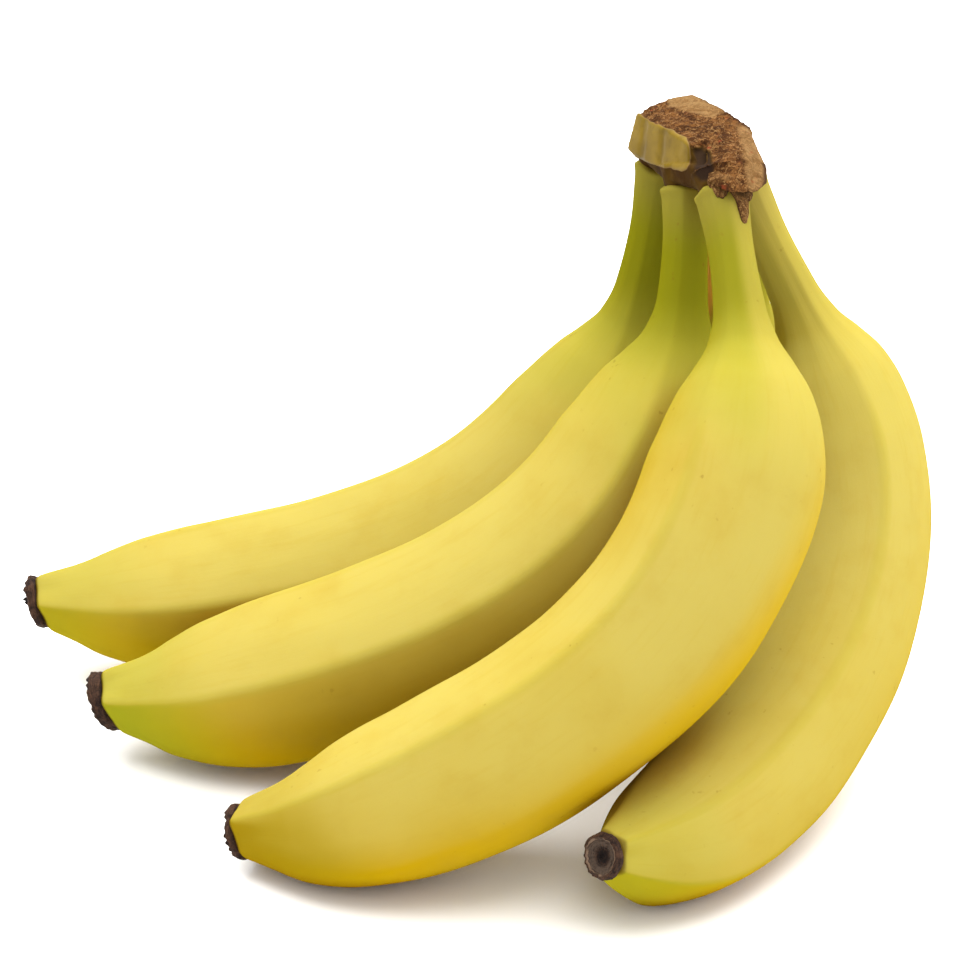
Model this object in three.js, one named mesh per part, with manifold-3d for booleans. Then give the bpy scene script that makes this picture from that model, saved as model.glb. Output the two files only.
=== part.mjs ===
// A hand of five bananas on one cut crown, at real size.
// Millimetres, +Z up. Seen from the front, +X runs to the right and +Y away from the viewer.
// It lies on the bellies of bananas 3, 4 and 5; bananas 1 and 2 hang just clear of the surface.

import * as THREE from 'three';
import Module from 'manifold-3d';
import { ConvexGeometry } from 'three/addons/geometries/ConvexGeometry.js';
import { mergeVertices } from 'three/addons/utils/BufferGeometryUtils.js';

const wasm = await Module();
wasm.setup();

// Driving dimensions

// The places below are measured from the middle of the front view; the origin is moved to MIDDLE,
// which is under the centre of the bunch's box.
const MIDDLE = new THREE.Vector3(-2.27, 32.36, 0);

// Each banana starts at top, where its neck meets the crown. The neck leans by leanRight and leanBack
// degrees from straight down, and the dried tip points along heading (0 is +X, 90 is +Y) and pitch.
// length runs along the middle line from top to the tip, radius is half the greatest thickness.
// The bend is sharpest at bendAt of the length, fades over bendSpread, and endBend curls the last part.
// root is how far the neck goes on above top, or falls short of it where it is below zero. The five
// ridges start ridge degrees from the hollow side and turn by twist degrees over the length. rim is the
// height of the dried ring on the end, and nub that of the stub in its hollow. fuller lists where the
// fruit swells on one side: distance from the crown, spread, degrees from the hollow side and height.
const BANANAS = {
  banana_1: {
    top: [42.1, 73.3, 125.6], leanRight: -9.0, leanBack: -11.3, heading: 176.0, pitch: 0.6,
    length: 206.6, radius: 18.9, endRadius: 6.1, bendAt: 0.32, bendSpread: 0.28, endBend: 0.26,
    root: 3.2, ridge: 63, twist: 0, rim: 2.6, nub: 2.9,
    fuller: [],
  },
  banana_2: {
    top: [47.3, 51.7, 133.6], leanRight: -1.7, leanBack: -25.6, heading: 171.0, pitch: -6.5,
    length: 207.2, radius: 20.5, endRadius: 6.7, bendAt: 0.33, bendSpread: 0.24, endBend: 0.34,
    root: -0.4, ridge: 54, twist: -2, rim: 3.3, nub: 0.6,
    fuller: [],
  },
  banana_3: {
    top: [54.4, 35.4, 137.7], leanRight: 10.8, leanBack: -43.9, heading: 163.6, pitch: -11.6,
    length: 211.6, radius: 19.8, endRadius: 6.2, bendAt: 0.39, bendSpread: 0.26, endBend: 0.8,
    root: -3.0, ridge: 65, twist: 3, rim: 2.0, nub: 0.5,
    fuller: [[61, 15, 160, 1.7], [149, 14, 200, 1.1]],
  },
  banana_4: {
    top: [61.5, 60.8, 126.5], leanRight: 26.35, leanBack: -3.7, heading: 223.2, pitch: 19.2,
    length: 206.7, radius: 19.2, endRadius: 5.0, bendAt: 0.4, bendSpread: 0.27, endBend: 1.0,
    root: 3.5, ridge: 7, twist: 9, rim: 2.6, nub: 0.4,
    fuller: [[189, 9, 95, 2.4]],
  },
  banana_5: {
    top: [57.2, 75.8, 125.6], leanRight: 5.8, leanBack: 6.8, heading: 165.1, pitch: 6.1,
    length: 178.0, radius: 17.3, endRadius: 6.0, bendAt: 0.53, bendSpread: 0.27, endBend: 0.33,
    root: 6.0, ridge: 20, twist: 0, rim: 2.8, nub: 1.4,
    fuller: [],
  },
};

// Half thickness against distance, first from the crown and then back from the tip, for a banana of
// USUAL_RADIUS. The slim neck is alike on all of them; the rest grows and shrinks with radius.
const USUAL_RADIUS = 18.8;
const NECK_RADIUS = 5.0;
const FROM_CROWN = [[-8, 6.8], [1, 5.8], [12, 5.1], [26, 5.8], [34, 7.6], [40, 10.8], [46, 14.0], [54, 16.4],
  [66, 18.2], [84, 18.8]];
const NECK_POINTS = 5;
const FROM_TIP = [[60, 18.4], [40, 17.6], [27, 15.8], [16, 12.6], [8, 9.2]];

const RIDGES = 5;
const RIDGE_SHARPNESS = 14;
const NECK_RIDGE = 0.4;            // how much of the ridges the neck shows, and the fruit
const BODY_RIDGE = 0.65;
const SHOULDER = { start: 32, length: 32 };
const BASE_BEND = 0.25;            // bend that is spread evenly over the length
const STRAIGHT_NECK = 0.2;         // share of the length over which the bend sets in
const CURL = { at: 0.9, spread: 0.08 };

const SIDES = 30;                  // faces round a banana, a multiple of the ridges
const STEPS = { neck: 5, shoulder: 7, body: 11, end: 8 };
const END_LENGTH = 38;
const GAP = 0.3;                   // room left between solids that meet

const SKIN = { color: 0xe3c84a, roughness: 0.5, metalness: 0 };
const CUT = { color: 0x9a7247, roughness: 0.85, metalness: 0 };
const DRIED = { color: 0x3b2c22, roughness: 0.9, metalness: 0 };

const degrees = THREE.MathUtils.degToRad;
const smooth = (t) => THREE.MathUtils.smoothstep(t, 0, 1);
const hump = (t, at, spread) => Math.exp(-(((t - at) / spread) ** 2));

// A smooth curve through points that never overshoots them
function outline(points) {
  const slopes = points.slice(1).map(([x, y], i) => (y - points[i][1]) / (x - points[i][0]));
  const tangents = points.map((_, i) => {
    const [before, after] = [slopes[Math.max(i - 1, 0)], slopes[Math.min(i, slopes.length - 1)]];
    return before * after > 0 ? (2 * before * after) / (before + after) : 0;
  });
  return (x) => {
    let i = 0;
    while (i < points.length - 2 && x >= points[i + 1][0]) i += 1;
    const [[x0, y0], [x1, y1]] = [points[i], points[i + 1]];
    const width = x1 - x0;
    const t = THREE.MathUtils.clamp((x - x0) / width, 0, 1);
    const rise = y0 + (y1 - y0) * t * t * (3 - 2 * t);
    return rise + width * t * (1 - t) * (tangents[i] * (1 - t) - tangents[i + 1] * t);
  };
}

function thicknessOf({ length, radius, endRadius }) {
  const scale = (radius - NECK_RADIUS) / (USUAL_RADIUS - NECK_RADIUS);
  const grow = ([x, r]) => [x, NECK_RADIUS + (r - NECK_RADIUS) * scale];
  const neck = FROM_CROWN.slice(0, NECK_POINTS - 1);
  const shoulder = FROM_CROWN.slice(NECK_POINTS - 1).map(grow);
  const end = FROM_TIP.map(([x, r]) => grow([length - x, r]));
  return outline([...neck, ...shoulder, ...end, [length, endRadius]]);
}

// Radius of a soft five-sided section against the angle from one of its ridges, about 1 all round
function pentagon(angle) {
  let sum = 0;
  for (let k = 0; k < RIDGES; k += 1) {
    const face = ((k + 0.5) * 2 * Math.PI) / RIDGES;
    sum += Math.max(0, Math.cos(angle - face)) ** RIDGE_SHARPNESS;
  }
  return sum ** (-1 / RIDGE_SHARPNESS);
}
const PENTAGON_MEAN = (() => {
  const samples = 360;
  let sum = 0;
  for (let i = 0; i < samples; i += 1) sum += pentagon(degrees(i));
  return sum / samples;
})();

// The middle line of a banana: place and frame at any distance from the crown
function spineOf(banana) {
  const { top, leanRight, leanBack, heading, pitch, length, bendAt, bendSpread, endBend } = banana;
  const down = new THREE.Vector3(Math.tan(degrees(leanRight)), Math.tan(degrees(leanBack)), -1).normalize();
  const level = Math.cos(degrees(pitch));
  const tip = new THREE.Vector3(
    Math.cos(degrees(heading)) * level,
    Math.sin(degrees(heading)) * level,
    Math.sin(degrees(pitch)),
  );
  const inward = tip.clone().addScaledVector(down, -tip.dot(down)).normalize();
  const side = new THREE.Vector3().crossVectors(down, inward);
  const count = 400;
  const step = length / count;
  const bending = (t) => (BASE_BEND + hump(t, bendAt, bendSpread)) * smooth(t / STRAIGHT_NECK)
    + endBend * hump(t, CURL.at, CURL.spread);
  const turns = [0];
  for (let i = 1; i <= count; i += 1) {
    turns.push(turns[i - 1] + (bending((i - 1) / count) + bending(i / count)) / 2);
  }
  const whole = down.angleTo(tip) / turns[count];
  const along = (turn) => down.clone().multiplyScalar(Math.cos(turn)).addScaledVector(inward, Math.sin(turn));
  const places = [new THREE.Vector3(...top)];
  for (let i = 1; i <= count; i += 1) {
    const middle = (turns[i - 1] + turns[i]) / 2 * whole;
    places.push(places[i - 1].clone().addScaledVector(along(middle), step));
  }
  return (s) => {
    const i = Math.max(0, Math.min(count - 1, Math.floor(s / step)));
    const part = s / step - i;
    const turn = s <= 0 ? 0 : THREE.MathUtils.lerp(turns[i], turns[i + 1], part) * whole;
    const place = s <= 0
      ? places[0].clone().addScaledVector(down, s)
      : places[i].clone().lerp(places[i + 1], part);
    const hollow = inward.clone().multiplyScalar(Math.cos(turn)).addScaledVector(down, -Math.sin(turn));
    return { place, direction: along(turn), hollow, side };
  };
}

function stationsOf({ length, root }, from = -root) {
  const shoulderEnd = SHOULDER.start + SHOULDER.length;
  const stretches = [
    [from, SHOULDER.start, STEPS.neck],
    [SHOULDER.start, shoulderEnd, STEPS.shoulder],
    [shoulderEnd, length - END_LENGTH, STEPS.body],
    [length - END_LENGTH, length, STEPS.end],
  ];
  const stations = [from];
  for (const [start, end, steps] of stretches) {
    for (let i = 1; i <= steps; i += 1) stations.push(start + ((end - start) * i) / steps);
  }
  return stations;
}

// A closed solid through rings of points, with a fan over each end
function loft(rings) {
  const sides = rings[0].length;
  const positions = rings.flat().flatMap((p) => [p.x, p.y, p.z]);
  const index = [];
  for (let i = 0; i < rings.length - 1; i += 1) {
    for (let j = 0; j < sides; j += 1) {
      const [a, b] = [i * sides + j, i * sides + ((j + 1) % sides)];
      index.push(a, b, a + sides, b, b + sides, a + sides);
    }
  }
  for (const [ring, flip] of [[0, false], [rings.length - 1, true]]) {
    const middle = rings[ring].reduce((sum, p) => sum.add(p), new THREE.Vector3()).divideScalar(sides);
    const hub = positions.push(middle.x, middle.y, middle.z) / 3 - 1;
    for (let j = 0; j < sides; j += 1) {
      const [a, b] = [ring * sides + j, ring * sides + ((j + 1) % sides)];
      index.push(...(flip ? [hub, a, b] : [hub, b, a]));
    }
  }
  const geometry = new THREE.BufferGeometry();
  geometry.setAttribute('position', new THREE.Float32BufferAttribute(positions, 3));
  geometry.setIndex(index);
  return geometry;
}

// One banana, or with grow and over a fatter and longer copy of it that keeps the crown clear of it
function bananaGeometry(banana, { grow = 0, over = 0 } = {}) {
  const spine = spineOf(banana);
  const thickness = thicknessOf(banana);
  const rings = stationsOf(banana, -banana.root - over).map((s) => {
    const { place, hollow, side } = spine(s);
    const shoulder = smooth((s - SHOULDER.start) / SHOULDER.length);
    const ridged = THREE.MathUtils.lerp(NECK_RIDGE, BODY_RIDGE, shoulder);
    const start = degrees(banana.ridge + banana.twist * (s / banana.length - 0.5));
    const ring = [];
    for (let j = 0; j < SIDES; j += 1) {
      const fromRidge = (j * 2 * Math.PI) / SIDES;
      const angle = start + fromRidge;
      const ridge = 1 + (pentagon(fromRidge) / PENTAGON_MEAN - 1) * ridged;
      const swell = banana.fuller.reduce((sum, [at, spread, towards, height]) => (
        sum + height * hump(s, at, spread) * ((1 + Math.cos(angle - degrees(towards))) / 2) ** 2
      ), 0);
      const radius = thickness(s) * ridge + swell + grow;
      const point = place.clone()
        .addScaledVector(hollow, radius * Math.cos(angle))
        .addScaledVector(side, radius * Math.sin(angle));
      point.z = Math.max(point.z, 0);       // the belly that it lies on is flat
      ring.push(point);
    }
    return ring;
  });
  return loft(rings);
}

// The dried end of the flower: a low ring round a hollow with a stub in it, on the end of a banana
function blossomTipMesh(name, banana) {
  const { endRadius: r, rim, nub } = banana;
  const hollow = 0.65 * rim;
  const profile = [
    [0, GAP], [0.9 * r, GAP], [1.02 * r, 0.4 * rim], [0.98 * r, 0.8 * rim], [0.8 * r, rim],
    [0.55 * r, 1.1 * hollow], [0.3 * r, hollow], [0.22 * r, hollow + 0.6 * nub], [0, hollow + nub],
  ].map(([x, y]) => new THREE.Vector2(x, y));
  const geometry = new THREE.LatheGeometry(profile, 16);
  const mesh = new THREE.Mesh(geometry, new THREE.MeshStandardMaterial(DRIED));
  const { place, direction } = spineOf(banana)(banana.length);
  mesh.name = name;
  mesh.position.copy(place);
  mesh.quaternion.setFromUnitVectors(new THREE.Vector3(0, 1, 0), direction);
  return mesh;
}

// The crown is what is left of the stalk. Each neck runs up into it through a stub, low webs join
// neighbouring stubs, and on them sit a block with a facet of green skin in front and a cut top, a lump
// over banana 3 and a strip of torn peel.
const CROWN_BLOCK = [
  [36.2, 68.6, 144], [39.9, 70.6, 145.5], [43.7, 72, 146.5], [49.2, 73.6, 147], [55.8, 63.2, 147.5],
  [60.2, 56.2, 147], [47.2, 44.8, 146.5], [41.8, 55.7, 146], [34.2, 67.2, 136], [36.2, 64.2, 134.8],
  [40.4, 54.6, 137], [43.5, 49.1, 139], [47.1, 43.8, 140.2], [36.6, 74, 134.5], [41, 80, 134],
  [50, 81.5, 135], [58, 79, 135.5], [61.5, 70, 136], [63.5, 60, 136], [60, 48, 140],
];
const CROWN_LUMP = [
  [60.2, 56.2, 147], [61.4, 52.8, 146], [63.2, 43.8, 144.5], [64.3, 39.9, 143], [64.2, 35.6, 140.8],
  [61.6, 29.6, 140.6], [58, 27, 141], [54.3, 26.8, 141.2], [50.8, 30.6, 142.4], [50.8, 37.5, 144.5],
  [50.5, 44, 145.5], [52.5, 54, 147.5], [56.9, 36.3, 146.5], [60, 41, 146.3], [64.6, 57, 136],
  [64.6, 48, 137.5], [54, 44, 139],
];
const PEEL_STRIP = [
  [56.6, 29.5, 142], [61.4, 31, 141.8], [56.8, 26.8, 140.8], [60.8, 27.8, 140.6], [57.4, 25.2, 138.6],
  [60.6, 25.8, 138.4], [58.2, 24.2, 136.2], [59.9, 24.4, 136], [58.6, 30, 136.4],
];
const STUB = { length: 4.5, grow: 0.8, webFrom: 1.4, webTo: 4.5, sides: 12 };
const FINEST_EDGE = 0.03;          // smaller steps left by cutting are smoothed away

function solid(geometry) {
  geometry.deleteAttribute('normal');
  geometry.deleteAttribute('uv');
  const merged = mergeVertices(geometry, 1e-4);
  return new wasm.Manifold(new wasm.Mesh({
    numProp: 3,
    vertProperties: new Float32Array(merged.attributes.position.array),
    triVerts: new Uint32Array(merged.index.array),
  }));
}

function geometryOf(manifold) {
  const { vertProperties, triVerts } = manifold.getMesh();
  const geometry = new THREE.BufferGeometry();
  geometry.setAttribute('position', new THREE.Float32BufferAttribute(vertProperties, 3));
  geometry.setIndex([...triVerts]);
  return geometry;
}

const hull = (points) => solid(new ConvexGeometry(points.map((p) => new THREE.Vector3(...p))));

// Points round a neck above its end, where it runs up into the crown
function neckRing(banana, above, grow) {
  const { place, hollow, side } = spineOf(banana)(-banana.root - above);
  const radius = thicknessOf(banana)(-banana.root) + grow;
  return Array.from({ length: STUB.sides }, (_, j) => {
    const angle = (j * 2 * Math.PI) / STUB.sides;
    return place.clone()
      .addScaledVector(hollow, radius * Math.cos(angle))
      .addScaledVector(side, radius * Math.sin(angle))
      .toArray();
  });
}

function crownGeometry() {
  const bananas = Object.values(BANANAS);
  const roundTheCrown = [0, 1, 2, 3, 4, 0].map((i) => bananas[i]);
  let crown = hull(CROWN_BLOCK).add(hull(CROWN_LUMP));
  for (const banana of bananas) {
    crown = crown.add(hull([...neckRing(banana, GAP, 0), ...neckRing(banana, STUB.length, STUB.grow)]));
  }
  for (let i = 0; i < bananas.length; i += 1) {
    const pair = [roundTheCrown[i], roundTheCrown[i + 1]];
    crown = crown.add(hull(pair.flatMap((banana) => [
      ...neckRing(banana, STUB.webFrom, 0),
      ...neckRing(banana, STUB.webTo, 0),
    ])));
  }
  crown = crown.add(hull(PEEL_STRIP));
  for (const banana of bananas) {
    crown = crown.subtract(solid(bananaGeometry(banana, { grow: GAP, over: GAP })));
  }
  // Cutting leaves loose scraps, which are dropped
  const [largest] = crown.decompose().sort((a, b) => b.volume() - a.volume());
  return geometryOf(largest.simplify(FINEST_EDGE));
}

function namedMesh(name, geometry, finish) {
  const mesh = new THREE.Mesh(geometry, new THREE.MeshStandardMaterial(finish));
  mesh.name = name;
  return mesh;
}

const group = new THREE.Group();
group.position.copy(MIDDLE).negate();
for (const [name, banana] of Object.entries(BANANAS)) {
  group.add(namedMesh(name, bananaGeometry(banana), SKIN));
  group.add(blossomTipMesh(name.replace('banana', 'blossom_tip'), banana));
}
group.add(namedMesh('crown', crownGeometry(), CUT));
group.updateMatrixWorld(true);

export default group;
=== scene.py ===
# A hand of five bananas on a cut crown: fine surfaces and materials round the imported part.
# Sizes are in millimetres, measured as in the part's own source, and turned into metres at the end.

import math

import bmesh
import bpy
import numpy as np
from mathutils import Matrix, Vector, noise


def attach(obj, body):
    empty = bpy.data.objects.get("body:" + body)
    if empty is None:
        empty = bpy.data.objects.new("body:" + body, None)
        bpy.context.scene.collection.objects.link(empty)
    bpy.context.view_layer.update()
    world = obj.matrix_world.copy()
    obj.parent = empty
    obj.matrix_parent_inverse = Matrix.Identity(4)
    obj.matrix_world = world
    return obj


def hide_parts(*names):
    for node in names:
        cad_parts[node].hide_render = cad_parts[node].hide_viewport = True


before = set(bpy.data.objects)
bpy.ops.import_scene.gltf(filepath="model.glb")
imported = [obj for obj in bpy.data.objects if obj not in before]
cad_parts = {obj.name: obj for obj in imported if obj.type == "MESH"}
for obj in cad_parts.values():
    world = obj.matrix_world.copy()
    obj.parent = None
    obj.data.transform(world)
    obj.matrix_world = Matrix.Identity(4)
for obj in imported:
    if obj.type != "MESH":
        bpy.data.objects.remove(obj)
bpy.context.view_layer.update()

MM = 0.001
MIDDLE = np.array([-2.27, 32.36, 0.0])      # the origin lies here in the frame of the sizes below

BANANAS = {
    "banana_1": dict(top=(42.1, 73.3, 125.6), lean=(-9.0, -11.3), heading=176.0, pitch=0.6,
                     length=206.6, radius=18.9, end_radius=6.1, bend=(0.32, 0.28, 0.26),
                     root=3.2, ridge=63, twist=0, rim=2.6, nub=2.9, green=0.6,
                     fuller=[]),
    "banana_2": dict(top=(47.3, 51.7, 133.6), lean=(-1.7, -25.6), heading=171.0, pitch=-6.5,
                     length=207.2, radius=20.5, end_radius=6.7, bend=(0.33, 0.24, 0.34),
                     root=-0.4, ridge=54, twist=-2, rim=3.3, nub=0.6, green=0.9,
                     fuller=[]),
    "banana_3": dict(top=(54.4, 35.4, 137.7), lean=(10.8, -43.9), heading=163.6, pitch=-11.6,
                     length=211.6, radius=19.8, end_radius=6.2, bend=(0.39, 0.26, 0.8),
                     root=-3.0, ridge=65, twist=3, rim=2.0, nub=0.5, green=0.35,
                     fuller=[[61, 15, 160, 1.7], [149, 14, 200, 1.1]]),
    "banana_4": dict(top=(61.5, 60.8, 126.5), lean=(26.35, -3.7), heading=223.2, pitch=19.2,
                     length=206.7, radius=19.2, end_radius=5.0, bend=(0.4, 0.27, 1.0),
                     root=3.5, ridge=7, twist=9, rim=2.6, nub=0.4, green=0.7,
                     fuller=[[189, 9, 95, 2.4]]),
    "banana_5": dict(top=(57.2, 75.8, 125.6), lean=(5.8, 6.8), heading=165.1, pitch=6.1,
                     length=178.0, radius=17.3, end_radius=6.0, bend=(0.53, 0.27, 0.33),
                     root=6.0, ridge=20, twist=0, rim=2.8, nub=1.4, green=0.6,
                     fuller=[[29, 10, 165, 1.8], [29, 11, 345, 1.6]]),
}

# Half thickness against distance from the crown, then back from the dried tip
USUAL_RADIUS = 18.8
NECK_RADIUS = 5.0
FROM_CROWN = [(-8, 6.8), (1, 5.8), (12, 5.1), (26, 5.8), (34, 7.6), (40, 10.8), (46, 14.0), (54, 16.4),
              (66, 18.2), (84, 18.8)]
NECK_POINTS = 4
FROM_TIP = [(60, 18.4), (40, 17.6), (27, 15.8), (16, 12.6), (8, 9.2)]

SPINE_STEPS = 400
RIDGE_COUNT = 5
# Sharper than in the solids, with the same greatest radius
RIDGE_SHARPNESS = 32
NECK_RIDGE, BODY_RIDGE = 0.32, 0.52
SHOULDER_START, SHOULDER_LENGTH = 32, 32
BASE_BEND, STRAIGHT_NECK = 0.25, 0.2
CURL_AT, CURL_SPREAD = 0.9, 0.08

# How far a neck reaches up under the crown's tissue, beyond the solid's own end
USUAL_REACH = 0.4
REACH = {"banana_3": 5.0}

# Points round a banana, and rings along its neck, shoulder, body and end
SIDES = 120
RINGS = (44, 40, 86, 64)
END_LENGTH = 38

# Unevenness of the peel in millimetres: broad dents, fine waves along the fruit and the neck's upper edge
DENTS, DENTS_START, DENTS_LENGTH = 0.16, 20, 50
FINE_WAVES = 0.05
UNEVEN_ROOT, UNEVEN_ROOT_LENGTH = 0.45, 5
# Their patterns: how many waves are added up, the most that run round the fruit, and their length
BROAD_PATTERN, FINE_PATTERN, ROOT_PATTERN = (14, 3, 60), (24, 12, 45), (9, 7, 1)
# Bands round the fruit as height, place and spread: a lip and a rounded edge under the crown, and lobes
# and a rounded edge at the tip
ROOT_LIP, ROOT_EDGE = (0.3, 1.1, 1.0), (-0.9, -0.2, 0.6)
TIP_LOBES, TIP_EDGE = (0.3, 2.0, 5.0), (-0.5, -0.2, 0.7)

# The side that the painted light comes from, where the peel is painted palest, and from which cosine over
# which range this painted light comes in
PAINTED_LIGHT_SIDE = (0.25, -0.15, 0.9)
PAINTED_LIGHT_FROM, PAINTED_LIGHT_RANGE = -0.25, 0.9
# How green each neck is, which is partly its own tone and partly painted shade on the darker necks; those
# below 1 get painted light on their right side
NECK_GREEN_AND_SHADE = {"banana_1": 1.0, "banana_2": 1.0, "banana_3": 0.9, "banana_4": 0.2, "banana_5": 1.0}
PAINTED_RIGHT_LIGHT_LOSS, PAINTED_RIGHT_LIGHT_FROM, PAINTED_RIGHT_LIGHT_RANGE = 0.5, -0.1, 0.6
# An end painted dark ochre instead of green, as painted shade
PAINTED_SHADE_END = {"banana_3": 0.8}
# The peel's streaks are drawn on a roll of this radius, so that they run along the fruit
PEEL_ROLL = 10
# A ridge that is softer than the others: degrees from the hollow side, and how much softer
SOFT_RIDGE = {"banana_3": (209, 0.6)}
SOFT_RIDGE_SPREAD = 24
# An orange mark on a neck: millimetres from the crown and degrees from the hollow side, then how far it
# spreads along the neck and how narrow it is
ORANGE_MARK = {"banana_5": (36, 310)}
ORANGE_MARK_SPREAD, ORANGE_MARK_NARROWNESS = 10, 12
# The dried ends are slanted: how far the upper edge leads, per millimetre of height, and how ragged it is
SLANT = {"banana_1": 0.3, "banana_2": 0.32, "banana_3": 0.2, "banana_4": 0.0, "banana_5": 0.15}
SLANT_LENGTH = 14
RAGGED = {"banana_3": 0.55}
USUALLY_RAGGED = 0.24

# The camera looks down by 28 degrees; one millimetre at its target is 4.5 of the picture's 960 pixels
CAMERA_HEIGHT = math.radians(28.0)
CAMERA_DISTANCE = 900.0
CAMERA_TARGET = np.array([0.0, 0.0, 85.0])
PIXELS_PER_MM, PICTURE_SIZE, SENSOR = 4.5, 960, 36.0


def smooth(t):
    t = np.clip(t, 0, 1)
    return t * t * (3 - 2 * t)


def hump(t, at, spread):
    return np.exp(-(((t - at) / spread) ** 2))


def unit(v):
    return np.asarray(v, float) / np.linalg.norm(v)


def outline(points):
    """A smooth curve through points that never overshoots them."""
    x, y = np.array(points, float).T
    slopes = np.diff(y) / np.diff(x)
    before = np.concatenate([slopes[:1], slopes])
    after = np.concatenate([slopes, slopes[-1:]])
    same_way = before * after > 0
    total = np.where(same_way, before + after, 1)
    tangents = np.where(same_way, 2 * before * after / total, 0)

    def at(s):
        i = np.clip(np.searchsorted(x, s, side="right") - 1, 0, len(x) - 2)
        width = x[i + 1] - x[i]
        t = np.clip((s - x[i]) / width, 0, 1)
        rise = y[i] + (y[i + 1] - y[i]) * t * t * (3 - 2 * t)
        return rise + width * t * (1 - t) * (tangents[i] * (1 - t) - tangents[i + 1] * t)

    return at


def thickness_of(banana):
    scale = (banana["radius"] - NECK_RADIUS) / (USUAL_RADIUS - NECK_RADIUS)
    grow = [(x, NECK_RADIUS + (r - NECK_RADIUS) * scale) for x, r in FROM_CROWN[NECK_POINTS:]]
    end = [(banana["length"] - x, NECK_RADIUS + (r - NECK_RADIUS) * scale) for x, r in FROM_TIP]
    return outline(FROM_CROWN[:NECK_POINTS] + grow + end + [(banana["length"], banana["end_radius"])])


def pentagon(angle):
    faces = (np.arange(RIDGE_COUNT) + 0.5) * 2 * np.pi / RIDGE_COUNT
    facing = np.maximum(0, np.cos(np.asarray(angle)[..., None] - faces))
    return (facing ** RIDGE_SHARPNESS).sum(-1) ** (-1 / RIDGE_SHARPNESS)


PENTAGON_MEAN = pentagon(np.radians(np.arange(360))).mean()


def spine_of(banana):
    """Place, direction, hollow side and flank of a banana's middle line at any distance from the crown."""
    lean_right, lean_back = np.radians(banana["lean"])
    heading, pitch = math.radians(banana["heading"]), math.radians(banana["pitch"])
    bend_at, bend_spread, end_bend = banana["bend"]
    down = unit([math.tan(lean_right), math.tan(lean_back), -1])
    level = math.cos(pitch)
    tip = np.array([math.cos(heading) * level, math.sin(heading) * level, math.sin(pitch)])
    inward = unit(tip - down * (tip @ down))
    side = np.cross(down, inward)
    length = banana["length"]
    grid = np.linspace(0, length, SPINE_STEPS + 1)
    t = grid / length
    bending = (BASE_BEND + hump(t, bend_at, bend_spread)) * smooth(t / STRAIGHT_NECK)
    bending = bending + end_bend * hump(t, CURL_AT, CURL_SPREAD)
    turns = np.concatenate([[0], np.cumsum((bending[1:] + bending[:-1]) / 2)])
    turns *= math.acos(tip @ down) / turns[-1]
    middles = ((turns[1:] + turns[:-1]) / 2)[:, None]
    steps = (np.cos(middles) * down + np.sin(middles) * inward) * (length / SPINE_STEPS)
    places = np.concatenate([[banana["top"]], banana["top"] + np.cumsum(steps, 0)])

    def at(s):
        s = np.atleast_1d(np.asarray(s, float))
        turn = np.interp(s, grid, turns)[:, None]
        place = np.stack([np.interp(s, grid, places[:, k]) for k in range(3)], -1)
        place = place + np.minimum(s, 0)[:, None] * down
        direction = np.cos(turn) * down + np.sin(turn) * inward
        hollow = np.cos(turn) * inward - np.sin(turn) * down
        return place, direction, hollow, side

    return at


def waves(rng, count, around, along):
    """A smooth uneven pattern over angle and distance, about -1 to 1, the same on every run."""
    terms = [(rng.integers(0, around + 1), rng.normal() / along, rng.uniform(0, 2 * np.pi))
             for _ in range(count)]

    def at(angle, s):
        total = sum(np.cos(k * angle + f * s * 2 * np.pi + p) for k, f, p in terms)
        return total / math.sqrt(count)

    return at


def picture_place(points):
    """Where points lie in the photographed view, in pixels across and down."""
    offset = points - CAMERA_TARGET
    ahead = offset @ np.array([0, math.cos(CAMERA_HEIGHT), -math.sin(CAMERA_HEIGHT)])
    up = offset @ np.array([0, math.sin(CAMERA_HEIGHT), math.cos(CAMERA_HEIGHT)])
    scale = PIXELS_PER_MM * CAMERA_DISTANCE / (CAMERA_DISTANCE + ahead)
    return PICTURE_SIZE / 2 + offset[:, 0] * scale, PICTURE_SIZE / 2 - up * scale


def inside(across, down, corners, soft):
    """1 inside an outline in the photographed view and 0 outside, with a soft edge."""
    corners = np.array(corners, float)
    nearest = np.full(len(across), np.inf)
    within = np.zeros(len(across), bool)
    for (x0, y0), (x1, y1) in zip(corners, np.roll(corners, -1, 0)):
        dx, dy = x1 - x0, y1 - y0
        t = np.clip(((across - x0) * dx + (down - y0) * dy) / (dx * dx + dy * dy), 0, 1)
        nearest = np.minimum(nearest, np.hypot(across - x0 - t * dx, down - y0 - t * dy))
        if dy:
            crosses = (y0 > down) != (y1 > down)
            within ^= crosses & (across < x0 + (down - y0) * dx / dy)
    return smooth(0.5 + np.where(within, nearest, -nearest) / (2 * soft))


def uneven_by(points, size, seed):
    """A wandering number, about -1 to 1, for each point."""
    return np.array([noise.noise(Vector(p) / size + Vector((seed, 0, 0))) for p in points])


def vertex_values(mesh, label):
    """A vector for each vertex of a mesh, such as its place or normal."""
    values = np.zeros(len(mesh.vertices) * 3)
    mesh.vertices.foreach_get(label, values)
    return values.reshape(-1, 3)


def mesh_object(name, vertices, faces, attributes):
    mesh = bpy.data.meshes.new(name)
    mesh.from_pydata([tuple(v) for v in (np.asarray(vertices) - MIDDLE) * MM], [], faces)
    for label, values in attributes:
        values = np.asarray(values, np.float32)
        kind = "FLOAT_VECTOR" if values.ndim == 2 else "FLOAT"
        layer = mesh.attributes.new(label, kind, "POINT")
        layer.data.foreach_set("vector" if values.ndim == 2 else "value", values.ravel())
    mesh.polygons.foreach_set("use_smooth", [True] * len(mesh.polygons))
    mesh.update()
    piece = bpy.data.objects.new(name, mesh)
    bpy.context.scene.collection.objects.link(piece)
    return piece


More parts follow.
